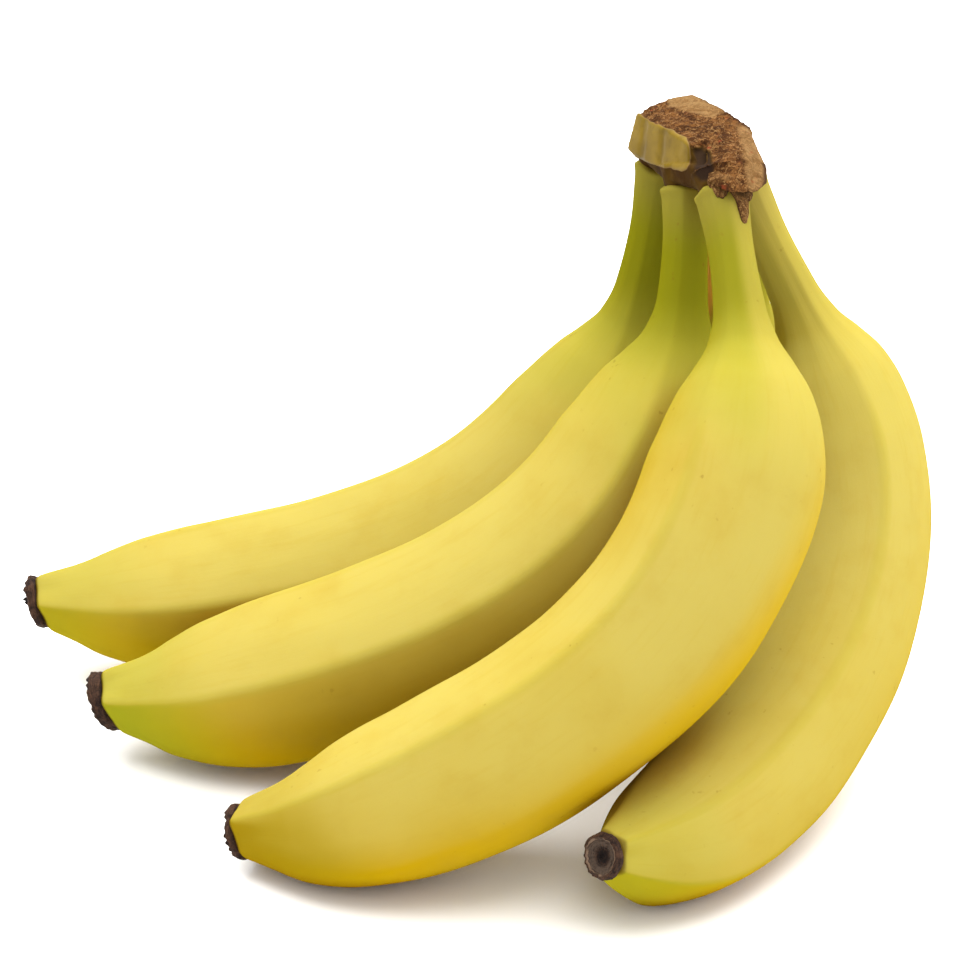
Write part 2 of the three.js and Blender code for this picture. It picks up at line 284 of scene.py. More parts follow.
def grid_faces(rings, sides):
    """Quads between rings of points, with a fan over the first and last ring round two added points."""
    faces = []
    for i in range(rings - 1):
        for j in range(sides):
            a, b = i * sides + j, i * sides + (j + 1) % sides
            faces.append((a, b, b + sides, a + sides))
    first, last = rings * sides, rings * sides + 1
    for j in range(sides):
        a, b = j, (j + 1) % sides
        faces.append((first, b, a))
        faces.append((last, (rings - 1) * sides + a, (rings - 1) * sides + b))
    return faces


def ring_distances(name, banana):
    """Distances of a banana's rings from the crown, from under its tissue to the tip."""
    top = -banana["root"] - REACH.get(name, USUAL_REACH)
    shoulder_end = SHOULDER_START + SHOULDER_LENGTH
    stops = [top, SHOULDER_START, shoulder_end, banana["length"] - END_LENGTH, banana["length"]]
    stretches = [np.linspace(a, b, n + 1)[1:] for a, b, n in zip(stops, stops[1:], RINGS)]
    return np.concatenate([[top]] + stretches)


def band(distance, height, at, spread):
    return height * hump(distance, at, spread)


def make_banana(name, banana, seed):
    """One fruit from under the crown's tissue to the edge of its dried tip."""
    rng = np.random.default_rng(seed)
    length = banana["length"]
    s = ring_distances(name, banana)
    angle = np.arange(SIDES) * 2 * np.pi / SIDES
    grid_angle, grid_s = np.meshgrid(angle, s)
    from_root, to_tip = grid_s - s[0], length - grid_s
    spine = spine_of(banana)
    place, _, hollow, side = spine(s)

    # Five soft ridges, which are weaker along the neck, and swells on one side
    start = np.radians(banana["ridge"] + banana["twist"] * (s / length - 0.5))[:, None]
    shoulder = smooth((s - SHOULDER_START) / SHOULDER_LENGTH)[:, None]
    soft_at, softer = SOFT_RIDGE.get(name, (0, 0))
    ridged = NECK_RIDGE + (BODY_RIDGE - NECK_RIDGE) * shoulder
    ridged = ridged * (1 - softer * hump(np.degrees(angle), soft_at, SOFT_RIDGE_SPREAD))
    radius = thickness_of(banana)(s)[:, None] * (1 + (pentagon(angle - start) / PENTAGON_MEAN - 1) * ridged)
    for at, spread, towards, height in banana["fuller"]:
        on_side = ((1 + np.cos(angle - math.radians(towards))) / 2) ** 2
        radius = radius + band(s, height, at, spread)[:, None] * on_side

    # Dents, waves, and the forms next to the crown and the tip
    broad, fine = waves(rng, *BROAD_PATTERN), waves(rng, *FINE_PATTERN)
    dented = smooth((grid_s - DENTS_START) / DENTS_LENGTH)
    radius = radius + DENTS * dented * broad(grid_angle, grid_s) + FINE_WAVES * fine(grid_angle, grid_s)
    radius = radius + band(from_root, *ROOT_LIP) + band(from_root, *ROOT_EDGE)
    lobes = np.cos(RIDGE_COUNT * (grid_angle - start))
    radius = radius + lobes * band(to_tip, *TIP_LOBES) + band(to_tip, *TIP_EDGE)

    points = place[:, None] + radius[..., None] * (
        np.cos(angle)[None, :, None] * hollow[:, None] + np.sin(angle)[None, :, None] * side)
    root_wave = waves(rng, *ROOT_PATTERN)(angle, 0)[None, :]
    uneven = UNEVEN_ROOT * root_wave * (1 - smooth(from_root / UNEVEN_ROOT_LENGTH))
    points = points + uneven[..., None] * spine(0)[1]
    tip_place, tip_direction = spine(length)[:2]
    above_tip = (points - tip_place)[..., 2] * SLANT[name] * smooth(1 - to_tip / SLANT_LENGTH)
    points = points + above_tip[..., None] * tip_direction
    points = points.reshape(-1, 3)
    points[:, 2] = np.maximum(points[:, 2], 0)
    vertices = np.concatenate([points, place[:1], place[-1:]])

    def per_vertex(grid):
        grid = grid.reshape(SIDES * len(s), -1)
        ends = np.stack([grid[:SIDES].mean(0), grid[-SIDES:].mean(0)])
        return np.concatenate([grid, ends]).squeeze()

    # What the material reads
    orange_mark = np.zeros_like(grid_s)
    if name in ORANGE_MARK:
        orange_mark_at, orange_mark_angle = ORANGE_MARK[name]
        lobe = np.maximum(0, np.cos(grid_angle - math.radians(orange_mark_angle)))
        orange_mark = lobe ** ORANGE_MARK_NARROWNESS * hump(from_root, orange_mark_at, ORANGE_MARK_SPREAD)
    # Painted light: the right side of the paler necks loses some of its green
    to_the_right = np.cos(grid_angle) * hollow[:, None, 0] + np.sin(grid_angle) * side[0]
    painted_right_light = smooth((to_the_right - PAINTED_RIGHT_LIGHT_FROM) / PAINTED_RIGHT_LIGHT_RANGE)
    neck_green_and_shade = NECK_GREEN_AND_SHADE[name] - PAINTED_RIGHT_LIGHT_LOSS * (NECK_GREEN_AND_SHADE[name] < 1) * painted_right_light
    peel = np.stack([np.cos(grid_angle) * PEEL_ROLL, np.sin(grid_angle) * PEEL_ROLL, grid_s], -1)
    attributes = [
        ("from_crown", per_vertex(from_root)),
        ("to_tip", per_vertex(to_tip)),
        ("ridge_line", per_vertex(lobes * ridged)),
        ("peel_place", per_vertex(peel)),
        ("green", np.full(len(vertices), banana["green"])),
        ("orange_mark", per_vertex(orange_mark)),
        ("neck_green_and_shade", per_vertex(neck_green_and_shade)),
        ("painted_shade_end", np.full(len(vertices), PAINTED_SHADE_END.get(name, 0.0))),
    ]
    piece = mesh_object(f"{name}_fine", vertices, grid_faces(len(s), SIDES), attributes)
    add_painted_light(piece)
    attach(piece, "root")
    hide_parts(name)
    return piece


def add_painted_light(piece):
    """How much each point looks up or to the right, where painted light makes the peel palest."""
    facing = vertex_values(piece.data, "normal") @ unit(PAINTED_LIGHT_SIDE)
    layer = piece.data.attributes.new("painted_light", "FLOAT", "POINT")
    layer.data.foreach_set("value", smooth((facing - PAINTED_LIGHT_FROM) / PAINTED_LIGHT_RANGE).astype(np.float32))


# Dried tip: its height against its width, as shares of the rim's height and of the end's radius, then of
# the floor's height, and at last of the stub's height above the floor
TIP_SIDES = 80
TIP_WALL = [(0.0, 0.86), (0.12, 0.97), (0.4, 1.03), (0.7, 1.03), (0.88, 0.99), (1.0, 0.9)]
TIP_WALL_RINGS = 16
TIP_FLOOR = 0.6
TIP_FACE = [(0.95, 0.82), (0.82, 0.76), (0.72, 0.68), (0.78, 0.58), (0.7, 0.48)]
TIP_FLOOR_RINGS = [(1.0, 0.39), (0.95, 0.3), (1.0, 0.25)]
TIP_STUB = [(0.4, 0.21), (0.8, 0.16), (1.0, 0.08)]
TIP_ROUGHNESS, TIP_UNEVENNESS = 0.07, 0.1
# How often the unevenness, the ragged edge and the pattern change on the way round, and along the wall and
# over the face
ROUGH_ROUND, JAGGED_ROUND, PATTERN_ROUND = 2.2, 5, 1.5
ALONG_WALL, OVER_FACE = 4, 3


def make_blossom_tip(name, fruit, banana, seed):
    """A ragged dried ring round a hollow, with the flower's stub in the middle."""
    r, rim, nub = banana["end_radius"], banana["rim"], banana["nub"]
    floor = TIP_FLOOR * rim
    wall = outline(TIP_WALL)
    outer = [(h * rim, wall(h) * r) for h in np.linspace(0, 1, TIP_WALL_RINGS)]
    inner = [(h * rim, w * r) for h, w in TIP_FACE] + [(h * floor, w * r) for h, w in TIP_FLOOR_RINGS]
    rings = outer + inner + [(floor + h * nub, w * r) for h, w in TIP_STUB]
    place, direction, hollow, side = spine_of(banana)(banana["length"])
    place, direction, hollow = place[0], direction[0], hollow[0]
    slant, ragged = SLANT[fruit], RAGGED.get(fruit, USUALLY_RAGGED)
    points, depth, ring_place = [], [], []
    for i, (height, radius) in enumerate(rings):
        for j in range(TIP_SIDES):
            angle = j * 2 * math.pi / TIP_SIDES
            x, y = math.cos(angle), math.sin(angle)
            spot = Vector((x * ROUGH_ROUND, y * ROUGH_ROUND, height * 0.5 + seed * 9))
            rough = noise.noise(spot) + 0.5 * noise.noise(spot * 3.1)
            jagged = noise.noise(Vector((x * JAGGED_ROUND, y * JAGGED_ROUND, seed * 5.0)))
            up = height * (1 + ragged * jagged * smooth(height / rim)) + TIP_UNEVENNESS * rough
            across = (x * hollow + y * side) * radius * (1 + TIP_ROUGHNESS * rough)
            points.append(place + direction * (up + slant * across[2]) + across)
            depth.append(i / len(rings))
            along = height * ALONG_WALL if i < len(outer) else radius * OVER_FACE
            ring_place.append((x * PATTERN_ROUND, y * PATTERN_ROUND, along))
    vertices = np.array(points + [place - direction * 0.5, place + direction * (floor + nub)])
    depth = np.array(depth + [0.0, 1.0])
    attributes = [("depth", depth), ("ring_place", np.array(ring_place + [(0, 0, 0)] * 2))]
    piece = mesh_object(f"{name}_fine", vertices, grid_faces(len(rings), TIP_SIDES), attributes)
    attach(piece, "root")
    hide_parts(name)
    return piece


# Crown
CROWN_BLOCK = [
    (36.2, 68.6, 144), (39.9, 70.6, 145.5), (43.7, 72, 146.5), (49.2, 73.6, 147), (55.8, 63.2, 147.5),
    (60.2, 56.2, 147), (47.2, 44.8, 146.5), (41.8, 55.7, 146), (34.2, 67.2, 136), (36.2, 64.2, 134.8),
    (40.4, 54.6, 137), (43.5, 49.1, 139), (47.1, 43.8, 140.2), (36.6, 74, 134.5), (41, 80, 134),
    (50, 81.5, 135), (58, 79, 135.5), (61.5, 70, 136), (63.5, 60, 136), (60, 48, 140),
]
CROWN_LUMP = [
    (60.2, 56.2, 147), (61.4, 52.8, 146), (63.2, 43.8, 144.5), (64.3, 39.9, 143), (64.2, 35.6, 141.2),
    (61.6, 30.6, 141.2), (58, 28.6, 141.8), (54.3, 28.6, 142.2), (50.8, 31.6, 143), (50.8, 37.5, 144.5),
    (50.5, 44, 145.5), (52.5, 54, 147.5), (56.9, 36.3, 146.5), (60, 41, 146.3), (64.6, 57, 136),
    (64.6, 48, 137.5), (54, 44, 139),
]
CROWN_FILL = [
    (47.2, 46.5, 145.5), (50.6, 45.5, 145), (50.9, 40, 142.7), (47.1, 45.5, 140.2), (51, 34, 141.2),
    (49, 41, 139.5), (52, 50, 146), (52, 40, 138.5), (47.5, 50, 140),
]
# Lower edge of the tissue that laps over banana 3's neck: degrees round the neck, millimetres along it
LAP_EDGE = [
    (150, 0.2), (160, 1.0), (168, 2.0), (176, 2.2), (184, 1.5), (190, 1.8), (195, 3.6), (199, 6.6),
    (205, 8.2), (212, 8.4), (219, 7.6), (225, 5.2), (229, 3.0), (235, 1.6), (243, 1.0), (250, 2.0),
    (258, 2.3), (268, 1.8), (274, 0.6), (281, -0.6), (288, -3.0),
]
LAP_TOP = -4.5
LAP_COLUMNS, LAP_ROWS = 110, 56
# Its thickness, the share left at the edge, and over how many millimetres it thins out and rounds off
LAP_THICKNESS, LAP_THIN, LAP_THINNING, LAP_ROUNDING = 0.8, 0.35, 1.6, 0.5
# Its edge wavers and turns in, its sides thin out over some degrees and are sunk, and it carries fibres
LAP_WAVER, LAP_TURNED_IN, LAP_TURN, LAP_FIBRES = 0.35, 0.35, 0.25, 0.16
LAP_SIDES, LAP_SIDES_SUNK = 8, 0.5
# How deep its upper end is sunk into the lump, from where and over what length
LAP_SUNK, LAP_SUNK_FROM, LAP_SUNK_LENGTH = 1.5, -2, 2.5
# Rings round a neck where the crown grips it, as height above the neck's end and how much wider than it
STUB_RINGS = [(-1.4, -0.9), (0.6, -0.3), (4.5, 0.8)]
WEB_RINGS = [(1.2, -0.4), (4.5, 0)]
RING_SIDES = 24
VOXEL = 0.32
SOFTENING, SOFTENING_ROUNDS = 0.5, 3
# How far the areas' edges wander in the picture, and over what distance on the crown
WANDER_PIXELS, WANDER_SIZE = 1.6, 2.4
# From which cosine over which range the surface counts as facing the front, and as facing up
FRONT_FROM, FRONT_RANGE = -0.05, 0.2
UP_FROM, UP_RANGE = 0.1, 0.3
# Softness of the areas' edges in pixels, and how wide a crease is
USUALLY_SOFT, HOLLOW_SOFT, RIGHT_SOFT, CREASE_WIDTH = 1.5, 2.5, 4, 3.2
RIGHT_PLAINNESS = 0.9
# Relief in millimetres: of the cut, where plain facets lose most of it, of the skin and the hollow, and of
# the bare parts
CUT_COARSE, CUT_TORN, CUT_FIBRES, PLAIN_LOSS = 0.22, 0.3, 0.28, 0.7
SKIN_HEIGHT, HOLLOW_DEPTH = 0.25, 0.5
BARE_COARSE, BARE_FIBRES = 0.15, 0.1
# The cut goes down to this height at the back
CUT_HEIGHT = 140.5
# The skin ends where the block turns back, and at its lower edge, which rises to the front
SKIN_BACK, SKIN_BACK_LEFT, LEFT_END, SKIN_BACK_SOFT = 66, 6, 47, 2
LOWER_EDGE_START, LOWER_EDGE_BACK, LOWER_EDGE_RISE = 134.8, 64.2, 0.265
LOWER_EDGE_OVER, LOWER_EDGE_SOFT = 0.6, 0.8
# Outlines of the crown's areas, in the picture's pixels: skin, cut, its two plain facets and the hollow
SKIN_PATCH = [(636, 112), (645, 118), (664, 127), (674, 131), (687, 139), (691, 148), (691, 158),
              (688, 169), (682, 171), (672, 168), (656, 167), (645, 163), (636, 160), (620, 151)]
CUT = [(636, 112), (645, 118), (664, 127), (674, 131), (687, 139), (693, 148), (702, 146), (711, 152),
       (714, 168), (712, 180), (716, 194), (736, 204), (766, 194), (775, 176), (764, 148), (748, 118),
       (724, 103), (697, 88), (668, 98), (636, 106)]
BACK_FACET = [(668, 106), (668, 96), (696, 86), (735, 106), (712, 118)]
RIGHT_FACET = [(738, 126), (752, 124), (775, 168), (768, 194), (752, 204), (746, 172), (742, 146)]
HOLLOW = [(695, 149), (703, 147), (709, 153), (713, 168), (711, 182), (700, 181), (693, 176), (694, 158)]
DARK_EDGE = [(700, 92), (724, 101), (748, 116), (758, 136), (745, 126), (722, 109), (700, 99)]
DARK_TAB = [(762, 163), (774, 163), (772, 190), (760, 199), (764, 184)]
CREASES = [((646, 118), (641, 160), 0.3), ((665, 128), (660, 168), 0.36), ((681, 138), (680, 170), 0.08)]


def neck_ring(name, above, grow):
    """Points round a neck, above its end in the scene."""
    banana = BANANAS[name]
    end = -banana["root"] - REACH.get(name, USUAL_REACH)
    place, _, hollow, side = spine_of(banana)(end - above)
    radius = float(thickness_of(banana)(np.array(-banana["root"]))) + grow
    angle = np.arange(RING_SIDES) * 2 * np.pi / RING_SIDES
    return list(place + radius * (np.cos(angle)[:, None] * hollow + np.sin(angle)[:, None] * side))


def hull_into(mesh, points):
    made = [mesh.verts.new(tuple(p)) for p in points]
    bmesh.ops.convex_hull(mesh, input=made)


def make_crown():
    """Hulls of the crown's main forms, joined and softened, with the relief of each area of the surface."""
    mesh = bmesh.new()
    for points in (CROWN_BLOCK, CROWN_LUMP, CROWN_FILL):
        hull_into(mesh, points)
    names = list(BANANAS)
    for name in names:
        hull_into(mesh, [p for ring in STUB_RINGS for p in neck_ring(name, *ring)])
    for pair in zip(names, names[1:] + names[:1]):
        hull_into(mesh, [p for name in pair for ring in WEB_RINGS for p in neck_ring(name, *ring)])
    data = bpy.data.meshes.new("crown_rough")
    mesh.to_mesh(data)
    mesh.free()
    rough = bpy.data.objects.new("crown_rough", data)
    bpy.context.scene.collection.objects.link(rough)
    remesh = rough.modifiers.new("remesh", "REMESH")
    remesh.mode = "VOXEL"
    remesh.voxel_size = VOXEL
    soften = rough.modifiers.new("soften", "SMOOTH")
    soften.factor = SOFTENING
    soften.iterations = SOFTENING_ROUNDS
    evaluated = rough.evaluated_get(bpy.context.evaluated_depsgraph_get())
    final = bpy.data.meshes.new_from_object(evaluated)
    bpy.data.objects.remove(rough)

    co, normal = vertex_values(final, "co"), vertex_values(final, "normal")
    faces = [tuple(p.vertices) for p in final.polygons]
    bpy.data.meshes.remove(final)

    areas = crown_areas(co, normal)
    co = co + normal * crown_relief(co, areas)[:, None]
    lap, lap_faces, lap_edge = lap_over_neck(BANANAS["banana_3"])
    faces = faces + [tuple(i + len(co) for i in f) for f in lap_faces]
    on_lap = {"cut": 1.0, "plain": 0.35, "edge": lap_edge}
    attributes = [(label, np.concatenate([values, np.ones(len(lap)) * on_lap.get(label, 0.0)]))
                  for label, values in areas.items()]
    piece = mesh_object("crown_fine", np.concatenate([co, lap]), faces, attributes)
    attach(piece, "root")
    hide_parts("crown")
    return piece


def crown_areas(co, normal):
    """How much each point of the crown belongs to its areas; the photo shows them on the front."""
    x, y, z = co.T
    facing = normal @ np.array([0, -math.cos(CAMERA_HEIGHT), math.sin(CAMERA_HEIGHT)])
    front = smooth((facing - FRONT_FROM) / FRONT_RANGE)
    across, down = picture_place(co)
    across = across + WANDER_PIXELS * uneven_by(co, WANDER_SIZE, 0)
    down = down + WANDER_PIXELS * uneven_by(co, WANDER_SIZE, 50)

    def area(corners, soft=USUALLY_SOFT):
        return inside(across, down, corners, soft)

    up = smooth((normal[:, 2] - UP_FROM) / UP_RANGE)
    high = smooth(z + uneven_by(co, 3, 9) - CUT_HEIGHT)
    lower_edge = LOWER_EDGE_START + LOWER_EDGE_RISE * (LOWER_EDGE_BACK - y)
    before_back = SKIN_BACK - y + SKIN_BACK_LEFT * (x < LEFT_END)
    skin = area(SKIN_PATCH) * front * smooth(before_back / SKIN_BACK_SOFT)
    skin = skin * smooth((z - lower_edge + LOWER_EDGE_OVER) / LOWER_EDGE_SOFT)
    cut = front * area(CUT) + (1 - front) * up * high
    creases = np.zeros(len(co))
    for (x0, y0), (x1, y1), depth in CREASES:
        middle = x0 + (down - y0) * (x1 - x0) / (y1 - y0)
        creases = creases + depth * hump(across, middle, CREASE_WIDTH)
    return {
        "skin": skin,
        "cut": np.clip(cut - skin, 0, 1),
        "plain": front * np.maximum(area(BACK_FACET), RIGHT_PLAINNESS * area(RIGHT_FACET, RIGHT_SOFT)),
        "hollow": front * area(HOLLOW, HOLLOW_SOFT),
        "edge": front * np.maximum(area(DARK_EDGE), area(DARK_TAB)),
        "crease": skin * creases,
    }


def crown_relief(co, areas):
    """Height of the fine forms of the crown's surface, in millimetres."""
    cut, skin, plain = areas["cut"], areas["skin"], areas["plain"]
    coarse = uneven_by(co, 3.2, 20)
    torn = np.array([noise.turbulence(Vector(p) * 0.75, 3, False) for p in co]) - 0.4
    fibres = np.array([noise.turbulence(Vector((p[0], p[1], 0.5 * p[2])) * 1.3, 2, True) for p in co]) - 0.5
    rough = CUT_COARSE * coarse + (1 - PLAIN_LOSS * plain) * (CUT_TORN * torn + CUT_FIBRES * fibres)
    bare = (1 - cut) * (1 - skin)
    height = cut * rough + SKIN_HEIGHT * skin + bare * (BARE_COARSE * coarse + BARE_FIBRES * fibres)
    return height - areas["crease"] - HOLLOW_DEPTH * areas["hollow"]


def lap_over_neck(banana):
    """Tissue that laps over the front of a neck from under the lump, with a lobed edge and a tongue."""
    first, last = LAP_EDGE[0][0], LAP_EDGE[-1][0]
    angle = np.linspace(first, last, LAP_COLUMNS)
    wobble = [noise.noise(Vector((a * 0.16, 3.3, 0))) + 0.5 * noise.noise(Vector((a * 0.5, 8.1, 0)))
              for a in angle]
    edge_at = outline(LAP_EDGE)(angle) + LAP_WAVER * np.array(wobble)
    part = np.linspace(0, 1, LAP_ROWS) ** 0.8
    s = LAP_TOP + part[:, None] * (edge_at - LAP_TOP)
    place, _, hollow, side = spine_of(banana)(s.ravel())

    # Thin towards the edge and the sides, and sunk into the lump at the top
    to_edge = edge_at - s
    ends = smooth((angle - first) / LAP_SIDES) * smooth((last - angle) / LAP_SIDES)
    thickness = LAP_THICKNESS * (LAP_THIN + (1 - LAP_THIN) * smooth(to_edge / LAP_THINNING))
    height = thickness * smooth(to_edge / LAP_ROUNDING + 0.15) * ends
    height = height - LAP_SUNK * smooth((LAP_SUNK_FROM - s) / LAP_SUNK_LENGTH)
    height = height - LAP_TURNED_IN * (1 - smooth(to_edge / LAP_TURN)) - LAP_SIDES_SUNK * (1 - ends)
    turn = np.radians(angle)[None, :].repeat(LAP_ROWS, 0).ravel()
    fibre = np.array([
        noise.noise(Vector((a * 0.22 + 0.5 * noise.noise(Vector((a * 0.05, v * 0.5, 1))), v * 0.35, 5)))
        for a, v in zip(np.degrees(turn), s.ravel())])
    fibre = LAP_FIBRES * fibre * smooth(to_edge.ravel() / LAP_THICKNESS)
    out = thickness_of(banana)(s).ravel() + height.ravel() + fibre
    points = place + out[:, None] * (np.cos(turn)[:, None] * hollow + np.sin(turn)[:, None] * side)
    corners = [(i * LAP_COLUMNS + j, (i + 1) * LAP_COLUMNS + j)
               for i in range(LAP_ROWS - 1) for j in range(LAP_COLUMNS - 1)]
    faces = [(upper, upper + 1, lower + 1, lower) for upper, lower in corners]
    return points, faces, (1 - smooth(to_edge / 0.5)).ravel()


# Materials. A face in full light shows about this many times its surface colour
LIGHT = 2.7


def seen(red, green, blue):
    """The surface colour that shows on screen as the given one, 0 to 255, on a face lit LIGHT times."""
    def one(c):
        c /= 255
        return (c / 12.92 if c <= 0.04045 else ((c + 0.055) / 1.055) ** 2.4) / LIGHT
    return (one(red), one(green), one(blue), 1.0)


class ShaderTree:
    """Short forms for building a node tree."""

    def __init__(self, tree):
        self.tree = tree

    def put(self, socket, value):
        if isinstance(value, bpy.types.NodeSocket):
            self.tree.links.new(value, socket)
        else:
            socket.default_value = value

    def node(self, kind, inputs=(), **settings):
        made = self.tree.nodes.new(kind)
        for key, value in settings.items():
            setattr(made, key, value)
        for key, value in dict(inputs).items():
            self.put(made.inputs[key], value)
        return made

    def attribute(self, name, output="Fac"):
        return self.node("ShaderNodeAttribute", attribute_name=name).outputs[output]

    def place(self):
        return self.node("ShaderNodeTexCoord").outputs["Object"]

    def axes(self, vector):
        return self.node("ShaderNodeSeparateXYZ", {0: vector}).outputs[:3]

    def scaled(self, vector, scale):
        return self.node("ShaderNodeVectorMath", {0: vector, 1: scale}, operation="MULTIPLY").outputs[0]

    def noise(self, vector, scale, detail=4.0, roughness=0.55, distortion=0.0):
        inputs = {"Vector": vector, "Scale": scale, "Detail": detail, "Roughness": roughness,
                  "Distortion": distortion}
        return self.node("ShaderNodeTexNoise", inputs).outputs["Fac"]

    def math(self, operation, first, second=0.0):
        return self.node("ShaderNodeMath", {0: first, 1: second}, operation=operation).outputs[0]

    def times(self, first, second):
        return self.math("MULTIPLY", first, second)

    def range(self, value, low, high, to_low=0.0, to_high=1.0):
        inputs = {"Value": value, "From Min": low, "From Max": high, "To Min": to_low, "To Max": to_high}
        return self.node("ShaderNodeMapRange", inputs, interpolation_type="SMOOTHSTEP").outputs[0]

    def fall(self, value, high, low):
        """1 up to one level and 0 from the next."""
        return self.math("SUBTRACT", 1.0, self.range(value, high, low))

    def line(self, value, at, width):
        """1 where a value is close to a level, for thin threads along its contours."""
        away = self.math("ABSOLUTE", self.math("SUBTRACT", value, at))
        return self.range(away, width * 0.4, width, 1.0, 0.0)

    def crevice(self, distance):
        """1 in the narrow places between pieces, 0 in the open."""
        made = self.node("ShaderNodeAmbientOcclusion", {"Distance": distance}, samples=6)
        return self.range(made.outputs["AO"], 0.2, 0.85, 1.0, 0.0)

    def mix(self, factor, first, second, blend="MIX"):
        made = self.node("ShaderNodeMix", data_type="RGBA", blend_type=blend)
        self.put(made.inputs["Factor"], factor)
        self.put(made.inputs[6], first)
        self.put(made.inputs[7], second)
        return made.outputs[2]

    def bump(self, height, strength, distance, under=None):
        inputs = {"Height": height, "Strength": strength, "Distance": distance}
        if under is not None:
            inputs["Normal"] = under
        return self.node("ShaderNodeBump", inputs).outputs[0]


class Shader(ShaderTree):
    """A material with one principled surface."""

    def __init__(self, name):
        self.material = bpy.data.materials.new(name)
        self.material.use_nodes = True
        super().__init__(self.material.node_tree)
        self.tree.nodes.clear()
        self.surface = self.tree.nodes.new("ShaderNodeBsdfPrincipled")
        output = self.tree.nodes.new("ShaderNodeOutputMaterial")
        self.tree.links.new(self.surface.outputs["BSDF"], output.inputs["Surface"])

    def finish(self, **sockets):
        for label, value in sockets.items():
            self.put(self.surface.inputs[label.replace("_", " ")], value)
        return self.material


def peel_material():
    m = Shader("peel")
    from_crown, to_tip = m.attribute("from_crown"), m.attribute("to_tip")
    neck_green_and_shade, painted_light = m.attribute("neck_green_and_shade"), m.attribute("painted_light")
    place = m.place()
    broad = m.noise(place, 22, 3.0, 0.5)
    mottled = m.noise(place, 90, 5.0, 0.6)
    streaks = m.noise(m.scaled(m.attribute("peel_place", "Vector"), (0.9, 0.9, 0.05)), 1.0, 4.0, 0.6)
    pores = m.noise(place, 2600, 2.0, 0.5)

    # Painted light and shade: pale where the peel looks up or to the right, and ochre painted shade where
    # it looks down
    colour = m.mix(painted_light, seen(246, 200, 16), seen(249, 226, 112))
    colour = m.mix(m.range(broad, 0.35, 0.7, 0, 0.3), colour, seen(243, 208, 62))
    colour = m.mix(m.range(mottled, 0.45, 0.75, 0, 0.2), colour, seen(226, 188, 66))
    colour = m.mix(m.range(streaks, 0.5, 0.72, 0, 0.12), colour, seen(226, 186, 44))

    # Greener towards the crown and the tip
    shoulder = m.fall(m.math("ADD", from_crown, m.range(broad, 0.3, 0.7, -9, 9)), 34, 78)
    neck = m.fall(from_crown, 24, 50)
    end = m.fall(m.math("ADD", to_tip, m.range(broad, 0.3, 0.7, -5, 5)), 2, 34)
    # Painted shade: 1 where the peel looks down and less where it looks up; the green and ochre ends are
    # painted strongest there
    painted_shade_side = m.range(painted_light, 0.3, 0.8, 1.0, 0.45)
    # The lime shoulder and the olive neck follow each neck's greenness, so they carry its painted shade and
    # painted light
    lime = m.times(shoulder, m.range(neck_green_and_shade, 0.2, 1.0, 0.15, 0.65))
    colour = m.mix(lime, colour, seen(210, 204, 54))
    olive = m.mix(neck_green_and_shade, seen(228, 208, 92), seen(162, 160, 22))
    colour = m.mix(m.times(neck, 0.9), colour, olive)
    colour = m.mix(m.times(m.times(end, m.attribute("green")), painted_shade_side), colour, seen(192, 196, 44))
    # Painted shade: banana 3's end turns dark ochre, most where the peel looks down
    colour = m.mix(m.times(m.times(end, m.attribute("painted_shade_end")), painted_shade_side), colour, seen(196, 160, 20))
    colour = m.mix(m.times(m.fall(from_crown, 0.5, 17), 0.5), colour, seen(202, 180, 92))

    # Greenish ridges, specks, a brown edge at the tip and the warm shade between neighbours
    colour = m.mix(m.range(m.attribute("ridge_line"), 0.44, 0.52, 0, 0.22), colour, seen(214, 200, 50))
    specks = m.times(m.range(m.noise(place, 420, 2.0, 0.5), 0.69, 0.76), m.range(broad, 0.45, 0.6))
    colour = m.mix(m.times(specks, 0.35), colour, seen(160, 112, 44))
    colour = m.mix(m.times(m.fall(to_tip, 0.2, 1.0), 0.6), colour, seen(110, 74, 40))
    colour = m.mix(m.times(m.crevice(0.012), 0.65), colour, (0.66, 0.38, 0.05, 1), "MULTIPLY")
    # An orange mark on banana 5's neck
    colour = m.mix(m.range(m.attribute("orange_mark"), 0.15, 0.75, 0, 0.9), colour, (0.58, 0.27, 0.04, 1))

    rough = m.range(m.noise(place, 160, 3.0), 0.3, 0.7, 0.45, 0.56)
    bump = m.bump(streaks, 0.12, 0.0005)
    bump = m.bump(mottled, 0.12, 0.0005, bump)
    bump = m.bump(pores, 0.12, 0.0001, bump)
    return m.finish(Base_Color=colour, Roughness=rough, Normal=bump, Subsurface_Weight=0.12,
                    Subsurface_Radius=(1.0, 0.55, 0.12), Subsurface_Scale=0.003, Specular_IOR_Level=0.0)


